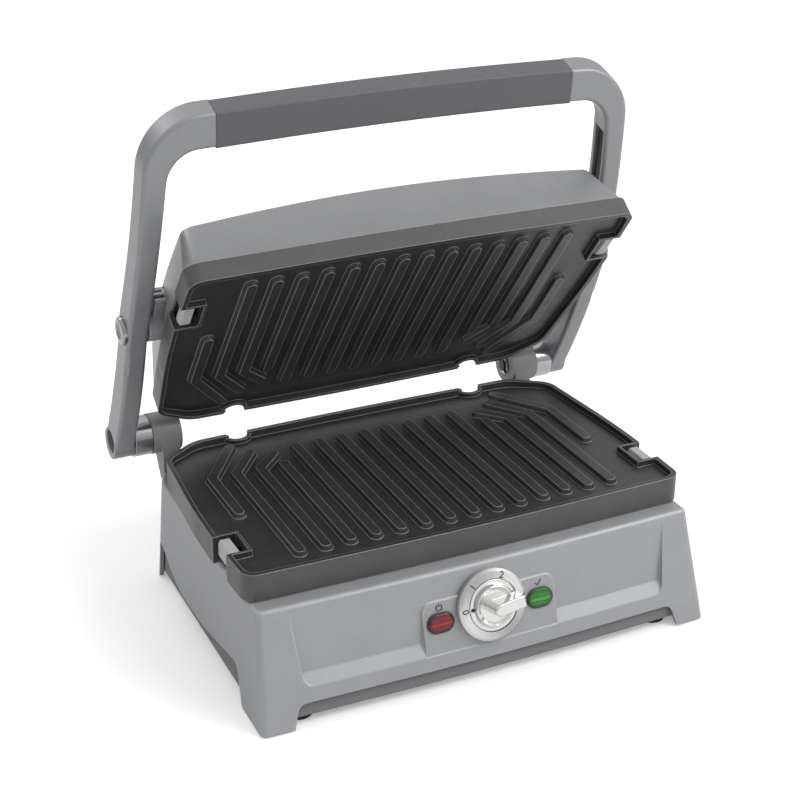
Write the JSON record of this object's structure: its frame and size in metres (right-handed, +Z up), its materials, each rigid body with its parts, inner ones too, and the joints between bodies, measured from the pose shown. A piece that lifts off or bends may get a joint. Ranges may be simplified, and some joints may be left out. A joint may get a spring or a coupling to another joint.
{
  "type": "panini press",
  "caption": "Floating-lid contact grill with a U handle, removable ribbed plates, a dial, lamps and release latches, standing open.",
  "frame": {"origin": "middle of the box around the opened press, on the surface it stands on", "axes": "+Z up, +Y to the hinge at the back, +X to the right seen from the front"},
  "size_m": [0.3342, 0.2464, 0.3279],
  "materials": {
    "silver_plastic": "satin silver-grey paint",
    "dark_plastic": "fine moulded texture",
    "grip": "satin soft-touch",
    "hub_plastic": "fine moulded texture",
    "nonstick": "semi-matte non-stick coating on cast aluminium",
    "chrome": "polished",
    "brushed_metal": "circular brushing",
    "sheet_steel": "plain",
    "latch_plastic": "satin",
    "rubber": "matte",
    "red_lens": "clear",
    "green_lens": "clear",
    "ceramic": "glazed"
  },
  "bodies": {
    "base": {"base_housing": "silver_plastic", "bottom_cover": "dark_plastic", "rubber_feet": "rubber", "base_screws": "sheet_steel", "lower_heat_pan": "sheet_steel", "lower_reflector": "sheet_steel", "lower_heating_element": "sheet_steel", "lower_thermal_fuse": "ceramic", "dial_bezel": "brushed_metal", "thermostat": "dark_plastic", "power_lens": "red_lens", "ready_lens": "green_lens", "power_lamp": "ceramic", "ready_lamp": "ceramic", "cord_gland": "dark_plastic", "terminal_block": "dark_plastic", "hinge_bracket_left": "hub_plastic", "hinge_bracket_right": "hub_plastic", "lower_latch_spring_left": "sheet_steel", "lower_latch_spring_right": "sheet_steel"},
    "knob": {"control_knob": "chrome", "thermostat_shaft": "sheet_steel"},
    "lower_grill_plate": {"lower_plate": "nonstick"},
    "handle": {"grip_sleeve": "grip", "grip_core": "sheet_steel", "handle_arm_left": "silver_plastic", "handle_arm_right": "silver_plastic", "arm_channel_left": "dark_plastic", "arm_channel_right": "dark_plastic", "hinge_ring_left": "silver_plastic", "hinge_ring_right": "silver_plastic", "hinge_pin_left": "sheet_steel", "hinge_pin_right": "sheet_steel", "retaining_ring_left": "sheet_steel", "retaining_ring_right": "sheet_steel", "pivot_pin_left": "sheet_steel", "pivot_pin_right": "sheet_steel", "pivot_cap_left": "chrome", "pivot_cap_right": "chrome"},
    "lid": {"lid_shell": "silver_plastic", "lid_frame": "dark_plastic", "lid_screws": "sheet_steel", "upper_heat_pan": "sheet_steel", "upper_reflector": "sheet_steel", "upper_heating_element": "sheet_steel", "upper_thermal_fuse": "ceramic", "lid_pivot_mount_left": "silver_plastic", "lid_pivot_mount_right": "silver_plastic", "upper_latch_spring_left": "sheet_steel", "upper_latch_spring_right": "sheet_steel"},
    "upper_grill_plate": {"upper_plate": "nonstick"},
    "lower_latch_left_body": {"lower_latch_left": "latch_plastic"},
    "lower_latch_right_body": {"lower_latch_right": "latch_plastic"},
    "upper_latch_left_body": {"upper_latch_left": "latch_plastic"},
    "upper_latch_right_body": {"upper_latch_right": "latch_plastic"}
  },
  "joints": [
    {"name": "handle_hinge", "type": "hinge", "parent": "base", "child": "handle", "pos_m": [0, 0.10045, 0.092], "axis": [-1, 0, 0], "range_deg": [-52.7, 30]},
    {"name": "lid_tilt", "type": "hinge", "parent": "handle", "child": "lid", "pos_m": [0, 0.0557, 0.18589], "axis": [1, 0, 0], "range_deg": [0, 20]},
    {"name": "knob_turn", "type": "hinge", "parent": "base", "child": "knob", "pos_m": [0, -0.10613, 0.04535], "axis": [0, 0.9617, -0.274], "range_deg": [0, 210]},
    {"name": "lower_plate_lift", "type": "slide", "parent": "base", "child": "lower_grill_plate", "axis": [0, 0, 1], "range_m": [0, 0.01]},
    {"name": "upper_plate_lift", "type": "slide", "parent": "lid", "child": "upper_grill_plate", "axis": [0, -0.7955, -0.606], "range_m": [0, 0.01]},
    {"name": "lower_latch_left_press", "type": "slide", "parent": "base", "child": "lower_latch_left_body", "axis": [-1, 0, 0], "range_m": [0, 0.0025], "stiffness_N_per_m": 400},
    {"name": "lower_latch_right_press", "type": "slide", "parent": "base", "child": "lower_latch_right_body", "axis": [1, 0, 0], "range_m": [0, 0.0025], "stiffness_N_per_m": 400},
    {"name": "upper_latch_left_press", "type": "slide", "parent": "lid", "child": "upper_latch_left_body", "axis": [-1, 0, 0], "range_m": [0, 0.0025], "stiffness_N_per_m": 400},
    {"name": "upper_latch_right_press", "type": "slide", "parent": "lid", "child": "upper_latch_right_body", "axis": [1, 0, 0], "range_m": [0, 0.0025], "stiffness_N_per_m": 400}
  ]
}
